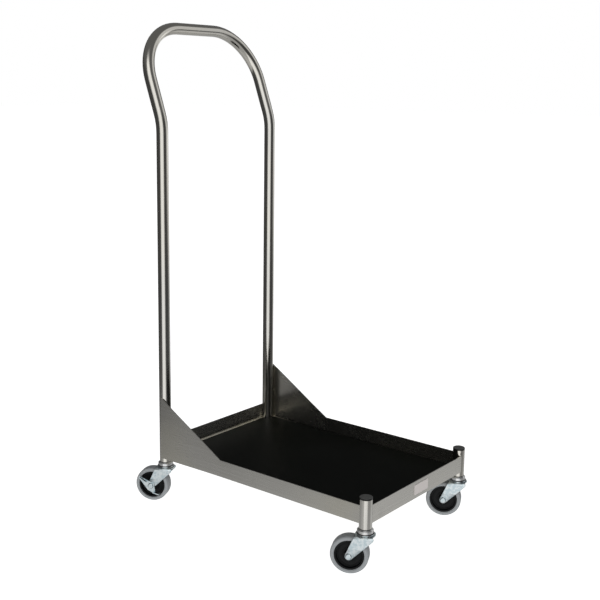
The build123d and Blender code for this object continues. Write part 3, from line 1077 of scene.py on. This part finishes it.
@dataclass
class Caster:
    """One swivel caster: its fork and wheel are modelled finely, the rest keeps its CAD shape."""

    corner: str
    kind: CasterKind
    wheel_radius: float = 37.5 * MM
    tyre_half: float = 12.0 * MM
    tyre_depth: float = 8.0 * MM
    shoulder: float = 4.0 * MM
    seat_clearance: float = 0.03 * MM
    ridge_half: float = 4.0 * MM
    ridge_height: float = 1.5 * MM
    hub_half: float = 11.0 * MM
    hub_rim: float = 3.5 * MM
    web_half: float = 5.0 * MM
    boss_radius: float = 10.0 * MM
    boss_half: float = 13.6 * MM
    bore_radius: float = 6.05 * MM
    ring_run: Tuple[float, ...] = (0.0, 0.3 * MM, 1.3 * MM, 1.6 * MM)
    ring_rise: Tuple[float, ...] = (0.0, 0.6 * MM, 0.6 * MM, 0.0)
    steps: int = 96
    tyre_round: int = 6
    hub_round: int = 4

    def wheel_place(self) -> Matrix:
        """The wheel's own axes.

        Returns:
            A placement with its origin on the axle and z along it.
        """
        joint = joint_of(f"wheel_spin_{self.corner}")
        turn = Vector(joint["axis"]).to_track_quat("Z", "Y").to_matrix().to_4x4()
        return Matrix.Translation(Vector(joint["pos_m"])) @ turn

    @staticmethod
    def both_halves(upper: List[Corner], steps: int) -> List[Point2]:
        """Rounds a section that is the same on both sides of the wheel's middle."""
        return rounded(upper + [(r, -z, radius) for r, z, radius in reversed(upper)], steps)

    def tyre_section(self) -> List[Point2]:
        """The tyre's section: rounded shoulders, a stepped side wall and a fine parting groove.

        Returns:
            Its (radius, height) points.
        """
        outer, half = self.wheel_radius, self.tyre_half
        seat = self.wheel_radius - self.tyre_depth + self.seat_clearance
        ridge = seat + self.ridge_height
        groove = self.ridge_half + self.seat_clearance
        upper = [
            (ridge, groove, 0.2 * MM),
            (seat, groove, 0.2 * MM),
            (seat, half - 0.7 * MM, 0.3 * MM),
            (seat + 1.3 * MM, half - 0.7 * MM, 0.25 * MM),
            (seat + 1.7 * MM, half, 0.35 * MM),
            (outer, half, self.shoulder),
            (outer, 0.35 * MM, 0.1 * MM),
            (outer - 0.2 * MM, 0.15 * MM, 0.0),
        ]
        return self.both_halves(upper, self.tyre_round)

    def raised_ring(self, start: float) -> List[Corner]:
        """The corners of one low ring on the hub's web, from this radius outward."""
        return [(start + out, self.web_half + up, 0.2 * MM) for out, up in zip(self.ring_run, self.ring_rise)]

    def hub_section(self) -> List[Point2]:
        """The hub's section: boss, web with two raised rings, drafted rim and the tyre's ridge.

        Returns:
            Its (radius, height) points.
        """
        outer = self.wheel_radius - self.tyre_depth
        inner = outer - self.hub_rim
        upper = [
            (self.bore_radius, self.boss_half, 0.0),
            (self.boss_radius - 0.6 * MM, self.boss_half, 0.5 * MM),
            (self.boss_radius, self.web_half, 1.2 * MM),
            *self.raised_ring(self.boss_radius + 3.2 * MM),
            *self.raised_ring(inner - 4.4 * MM),
            (inner - 0.5 * MM, self.web_half, 1.0 * MM),
            (inner, self.hub_half, 0.4 * MM),
            (outer, self.hub_half, 0.4 * MM),
            (outer, self.ridge_half, 0.2 * MM),
            (outer + self.ridge_height, self.ridge_half, 0.2 * MM),
        ]
        return self.both_halves(upper, self.hub_round)

    def build_wheel(self) -> None:
        """Makes the tyre and the hub in the place of their CAD nodes."""
        place = self.wheel_place()
        body = f"wheel_{self.corner}"
        tyre = Maker.piece(f"tyre_ring_{self.corner}", Maker.turned(self.tyre_section(), self.steps), place)
        Maker.join(tyre, body, "tyre", TYRE, f"tyre_{self.corner}")
        hub = Maker.piece(f"hub_disc_{self.corner}", Maker.turned(self.hub_section(), self.steps), place)
        Maker.join(hub, body, "hub", HUB_PLASTIC, f"wheel_hub_{self.corner}")

    def build(self) -> None:
        """Makes the fork and the wheel, and dresses the rest."""
        Fork(self.corner).build()
        self.build_wheel()
        finishes = {
            "stem_socket": SOCKET_PLASTIC,
            "swivel_stem": BRIGHT_ZINC,
            "race_seal": SEAL,
            "swivel_balls": BEARING,
            "axle_bolt": BLUE_ZINC,
            "axle_nut": BRIGHT_ZINC,
            "wheel_bush": BEARING,
        }
        if self.kind is CasterKind.BRAKED:
            finishes["cam_washer"] = BRIGHT_ZINC
            finishes["brake_lever"] = BLUE_ZINC
        for piece, finish in finishes.items():
            Maker.dress(f"{piece}_{self.corner}", finish)
        LOG.info("caster %s, %s", self.corner, self.kind.value)


# -------- studio


@dataclass(frozen=True)
class Softbox:
    """A bright or dim band of the surroundings.

    Its heading from +X, half its width and the width of its fading sides are in degrees.
    Its lower and upper edge and the height over which they fade are sines of elevation.
    """

    heading: float
    half: float
    soft: float
    strength: float
    low: float = -2.0
    high: float = 2.0
    fade: float = 0.25


@dataclass
class Studio:
    """Pale floor, pale surroundings with broad soft lights, and the camera."""

    floor_size: float = 60.0
    pale: float = 1.0
    ambient: float = 0.08
    below: float = 0.52
    below_fade: Tuple[float, float] = (-0.43, -0.27)
    above: float = 0.09
    above_fade: Tuple[float, float] = (0.25, 0.6)
    boxes: Tuple[Softbox, ...] = (
        Softbox(heading=213.5, half=27.5, soft=26.0, strength=1.32, low=-0.42, high=0.85),
        Softbox(heading=172.0, half=30.0, soft=36.0, strength=0.2, high=-0.32, fade=0.1),
        Softbox(heading=328.0, half=22.0, soft=24.0, strength=0.24, high=-0.32, fade=0.1),
        Softbox(heading=326.0, half=22.0, soft=20.0, strength=0.75, low=-0.12, high=0.55, fade=0.15),
        Softbox(heading=14.0, half=38.0, soft=30.0, strength=0.9, low=-0.28, high=0.05),
    )
    camera_place: Tuple[float, float, float] = (-1.66007, -1.31808, 0.91533)
    azimuth: float = -51.65
    pitch: float = 10.01
    roll: float = 0.77
    lens: float = 60.993
    shift_y: float = -0.06
    sensor: float = 36.0
    far: float = 100.0
    top_light: float = 14.0
    top_size: float = 3.0
    top_height: float = 3.2

    def build_floor(self) -> None:
        """Makes the floor, which sharp reflections look past."""
        mesh = bmesh.new()
        bmesh.ops.create_grid(mesh, x_segments=2, y_segments=2, size=self.floor_size / 2)
        floor = Maker.piece("studio_floor", mesh)
        floor.data.materials.append(FLOOR.material())
        floor.visible_glossy = False

    def band(self, graph: Graph, heading: Signal, rise: Signal, box: Softbox) -> Signal:
        """The light of one softbox.

        Args:
            graph: the world's graph.
            heading: the horizontal part of the direction, at unit length.
            rise: the sine of the direction's elevation.
            box: the softbox.

        Returns:
            Its brightness in each direction.
        """
        angle = math.radians(box.heading)
        middle = (math.cos(angle), math.sin(angle), 0.0)
        dot = graph.vector_math("DOT_PRODUCT", heading, middle, output="Value")
        near = math.cos(math.radians(box.half - box.soft / 2))
        far = math.cos(math.radians(box.half + box.soft / 2))
        across = graph.ramp(dot, far, near)
        under = graph.ramp(rise, box.high - box.fade / 2, box.high + box.fade / 2, 1.0, 0.0)
        over = graph.ramp(rise, box.low - box.fade / 2, box.low + box.fade / 2)
        return box.strength * across * under * over

    def build_world(self) -> None:
        """Makes the surroundings: plain pale to the camera, softboxes to everything else."""
        world = bpy.data.worlds.new("studio")
        world.use_nodes = True
        bpy.context.scene.world = world
        graph = Graph(world.node_tree)
        direction = graph.node("ShaderNodeTexCoord", output="Generated")
        flat = graph.vector_math("MULTIPLY", direction, (1.0, 1.0, 0.0))
        heading = graph.vector_math("NORMALIZE", flat)
        rise = graph.parts(direction)[2]
        light = graph.ramp(rise, *self.below_fade, self.below, self.ambient)
        light = light + graph.ramp(rise, *self.above_fade, 0.0, self.above)
        for box in self.boxes:
            light = light + self.band(graph, heading, rise, box)
        seen = graph.node("ShaderNodeLightPath", output="Is Camera Ray")
        shade = seen * self.pale + (1 - seen) * light
        white = (1.0, 1.0, 1.0, 1.0)
        background = graph.node("ShaderNodeBackground", {}, {"Color": white, "Strength": shade})
        graph.node("ShaderNodeOutputWorld", {}, {"Surface": background})

    def build_top_light(self) -> None:
        """Hangs a broad soft light over the trolley."""
        data = bpy.data.lights.new("top_softbox", "AREA")
        data.shape = "SQUARE"
        data.size = self.top_size
        data.energy = self.top_light
        lamp = bpy.data.objects.new("top_softbox", data)
        lamp.location = (0.0, 0.0, self.top_height)
        lamp.visible_glossy = False
        bpy.context.scene.collection.objects.link(lamp)

    def build_camera(self) -> None:
        """Places the camera."""
        turn, tilt, roll = (math.radians(v) for v in (self.azimuth, 90 - self.pitch, self.roll))
        facing = Matrix.Rotation(turn, 4, "Z") @ Matrix.Rotation(tilt, 4, "X") @ Matrix.Rotation(roll, 4, "Z")
        data = bpy.data.cameras.new("camera")
        data.lens = self.lens
        data.sensor_width = self.sensor
        data.shift_y = self.shift_y
        data.clip_end = self.far
        camera = bpy.data.objects.new("camera", data)
        camera.matrix_world = Matrix.Translation(self.camera_place) @ facing
        bpy.context.scene.collection.objects.link(camera)
        bpy.context.scene.camera = camera

    def build(self) -> None:
        """Sets up the whole studio."""
        bpy.context.scene.view_settings.view_transform = "Standard"
        self.build_floor()
        self.build_world()
        self.build_top_light()
        self.build_camera()
        LOG.info("studio ready")


# -------- assembly


def main() -> None:
    """Builds the trolley's sub-assemblies in order, then the studio round them."""
    logging.basicConfig(level=logging.INFO, format="%(message)s")
    parts: List[Any] = [Frame()]
    parts += [SideSheet(side) for side in SIDES]
    parts += [PostCap(side) for side in SIDES]
    parts += [DeckMat(), LabelPlate()]
    for corner in CORNERS:
        kind = CasterKind.BRAKED if corner.startswith("rear") else CasterKind.FREE
        parts.append(Caster(corner, kind))
    parts.append(Studio())
    for part in parts:
        part.build()
        LOG.info("%s built", type(part).__name__)


if __name__ == "__main__":
    main()
